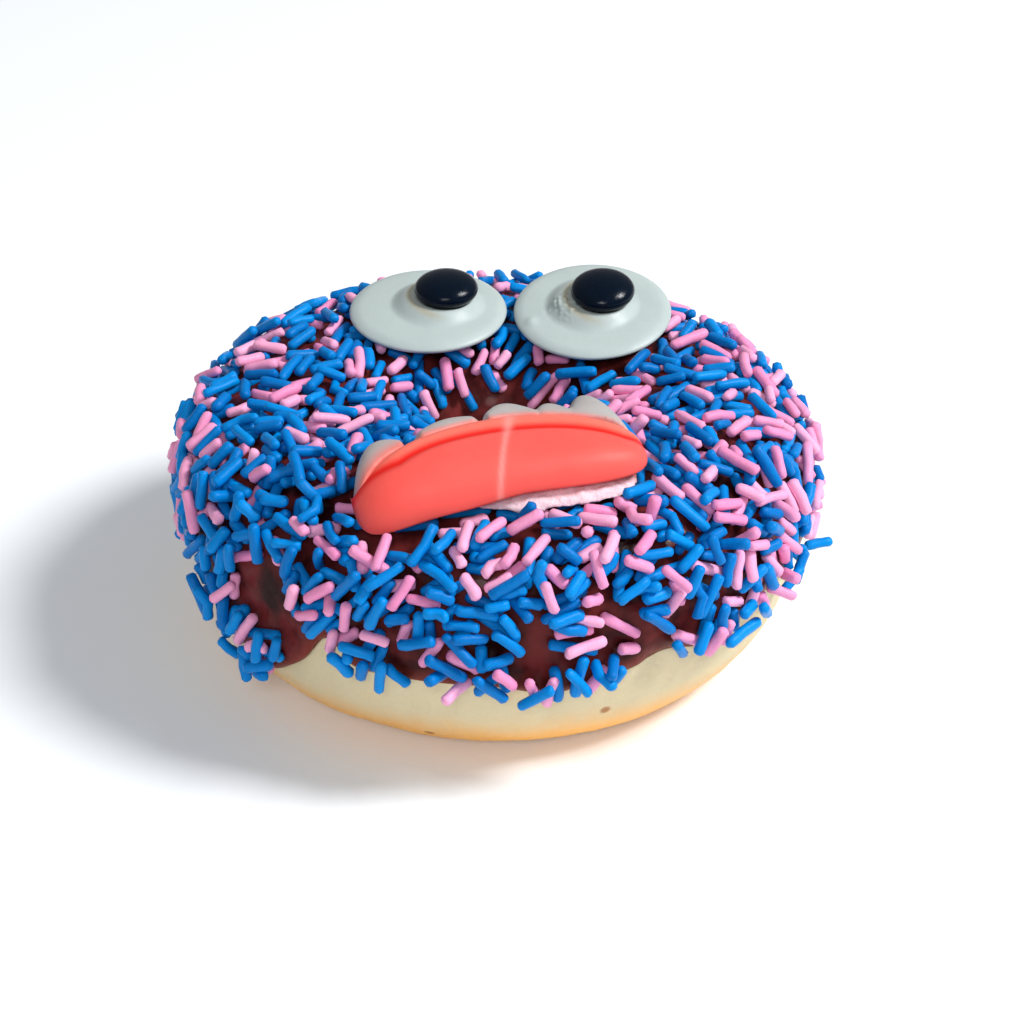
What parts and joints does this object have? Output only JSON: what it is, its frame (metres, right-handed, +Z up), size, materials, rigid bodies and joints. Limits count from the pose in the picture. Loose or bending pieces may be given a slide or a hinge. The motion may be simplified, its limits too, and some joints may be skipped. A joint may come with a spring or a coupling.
{
  "type": "doughnut",
  "caption": "Iced ring doughnut with a hole through it, covered in sprinkles, with a candy monster face of eyes and a toothed mouth on top.",
  "frame": {"origin": "middle of the hole, on the surface that the doughnut rests on", "axes": "+Z up through the hole; the candy face looks towards -Y, with its mouth at -Y and its eyes at +Y; +X to the right of someone who looks at the face from the front"},
  "size_m": [0.0918, 0.0921, 0.0445],
  "materials": {
    "dough": "soft baked dough, pale cream-yellow with golden patches",
    "icing": "set dark chocolate icing, glossy",
    "sprinkles_blue": "waxy satin sugar",
    "sprinkles_pink": "waxy satin sugar",
    "eye_white": "greenish white candy, satin",
    "pupil": "near-black polished candy",
    "mouth_gum": "coral red jelly candy, satin",
    "mouth_teeth": "greyish white foam candy"
  },
  "bodies": {
    "root": {"dough": "dough", "icing": "icing", "eye_white_left": "eye_white", "eye_white_right": "eye_white", "pupil_left": "pupil", "pupil_right": "pupil", "mouth_gum": "mouth_gum", "mouth_teeth": "mouth_teeth"}
  },
  "joints": []
}
